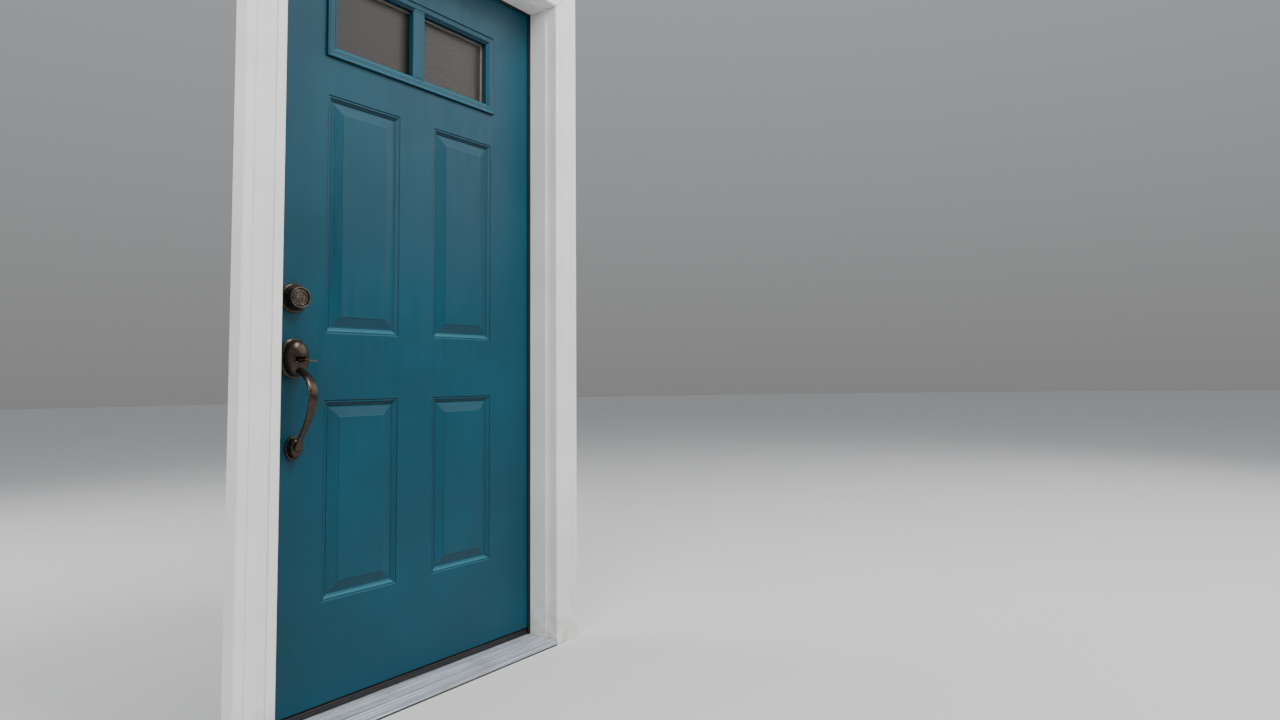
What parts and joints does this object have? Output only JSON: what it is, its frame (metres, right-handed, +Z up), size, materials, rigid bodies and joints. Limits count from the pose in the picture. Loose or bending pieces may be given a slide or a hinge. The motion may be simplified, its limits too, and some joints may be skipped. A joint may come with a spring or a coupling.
{
  "type": "panelled front door",
  "caption": "Inward-opening panelled exterior door with a divided top lite, hung in its jambs with outside moulding, sill, hinges, deadbolt and thumb-latch handleset.",
  "frame": {"origin": "middle of the sill's underside, in the plane of the outside moulding's back", "axes": "+X to the right seen from outside, +Y into the house, +Z up"},
  "size_m": [1.096, 0.2169, 2.153],
  "materials": {
    "door_paint": "teal satin paint on moulded grain",
    "lite_paint": "teal satin paint",
    "frame_paint": "warm off-white satin paint",
    "wood": "bare softwood",
    "foam": "rigid foam",
    "composite": "dark composite",
    "mill_aluminium": "dull mill finish",
    "brown_vinyl": "brown moulded vinyl",
    "black_vinyl": "black vinyl",
    "black_foam": "black foam-filled skin",
    "glass": "clear sealed unit",
    "bronze": "oil-rubbed bronze",
    "zinc_steel": "zinc plated",
    "brass": "worn brass"
  },
  "bodies": {
    "frame": {"hinge_top_jamb_leaf": "bronze", "hinge_middle_jamb_leaf": "bronze", "hinge_bottom_jamb_leaf": "bronze", "hinge_pins": "bronze", "jamb_hinge_screws": "bronze", "hinge_jamb": "frame_paint", "latch_jamb": "frame_paint", "head_jamb": "frame_paint", "mould_left": "frame_paint", "mould_right": "frame_paint", "mould_head": "frame_paint", "sill_deck": "mill_aluminium", "sill_core": "composite", "threshold_cap": "brown_vinyl", "cap_seal": "black_vinyl", "cap_screws": "zinc_steel", "weatherstrip_left": "black_foam", "weatherstrip_right": "black_foam", "weatherstrip_head": "black_foam", "deadbolt_strike": "bronze", "latch_strike": "bronze", "strike_screws": "bronze", "frame_screws": "zinc_steel"},
    "door": {"outer_skin": "door_paint", "inner_skin": "door_paint", "foam_core": "foam", "lock_stile": "wood", "lock_block": "wood", "hinge_stile": "wood", "top_rail": "wood", "bottom_rail": "wood", "door_sweep": "black_vinyl", "lite_frame_outside": "lite_paint", "lite_frame_inside": "lite_paint", "glass_panes": "glass", "glass_spacer": "mill_aluminium", "lite_screws": "zinc_steel", "hinge_top_door_leaf": "bronze", "hinge_middle_door_leaf": "bronze", "hinge_bottom_door_leaf": "bronze", "door_hinge_screws": "bronze", "deadbolt_case": "zinc_steel", "deadbolt_faceplate": "bronze", "latch_faceplate": "bronze", "deadbolt_housing": "bronze", "deadbolt_cylinder": "bronze", "deadbolt_inside_rose": "bronze", "handle": "bronze", "lower_rose": "bronze", "latch_case": "zinc_steel", "knob_rose": "bronze", "lock_screws": "zinc_steel"},
    "thumbturn": {"thumbturn": "bronze", "deadbolt_tailpiece": "zinc_steel"},
    "deadbolt_bolt": {"deadbolt_bolt": "zinc_steel"},
    "key_plug": {"key_plug": "brass"},
    "thumb_lever": {"thumb_lever": "bronze"},
    "latch_bolt": {"latch_bolt": "zinc_steel"},
    "inside_knob": {"inside_knob": "bronze", "latch_spindle": "zinc_steel"}
  },
  "joints": [
    {"name": "door_swing", "type": "hinge", "parent": "frame", "child": "door", "pos_m": [0.4555, 0.1239, 1.05], "axis": [0, 0, -1], "range_deg": [0, 110]},
    {"name": "thumbturn_turn", "type": "hinge", "parent": "door", "child": "thumbturn", "pos_m": [-0.359, 0.09365, 1.0325], "axis": [0, -1, 0], "range_deg": [0, 90]},
    {"name": "deadbolt_throw", "type": "slide", "parent": "door", "child": "deadbolt_bolt", "axis": [-1, 0, 0], "range_m": [0, 0.0254]},
    {"name": "key_turn", "type": "hinge", "parent": "door", "child": "key_plug", "pos_m": [-0.359, 0.05, 1.0325], "axis": [0, -1, 0], "range_deg": [-90, 90]},
    {"name": "thumb_release", "type": "hinge", "parent": "door", "child": "thumb_lever", "pos_m": [-0.359, 0.06, 0.886], "axis": [-1, 0, 0], "range_deg": [0, 12]},
    {"name": "latch_throw", "type": "slide", "parent": "door", "child": "latch_bolt", "axis": [-1, 0, 0], "range_m": [0, 0.0127]},
    {"name": "knob_turn", "type": "hinge", "parent": "door", "child": "inside_knob", "pos_m": [-0.359, 0.12, 0.8968], "axis": [0, 1, 0], "range_deg": [-60, 60]}
  ],
  "couplings": [
    {"joint": "thumbturn_turn", "follows": "deadbolt_throw", "rad_per_m": 61.84},
    {"joint": "latch_throw", "follows": "thumb_release", "m_per_rad": 0.06063}
  ]
}
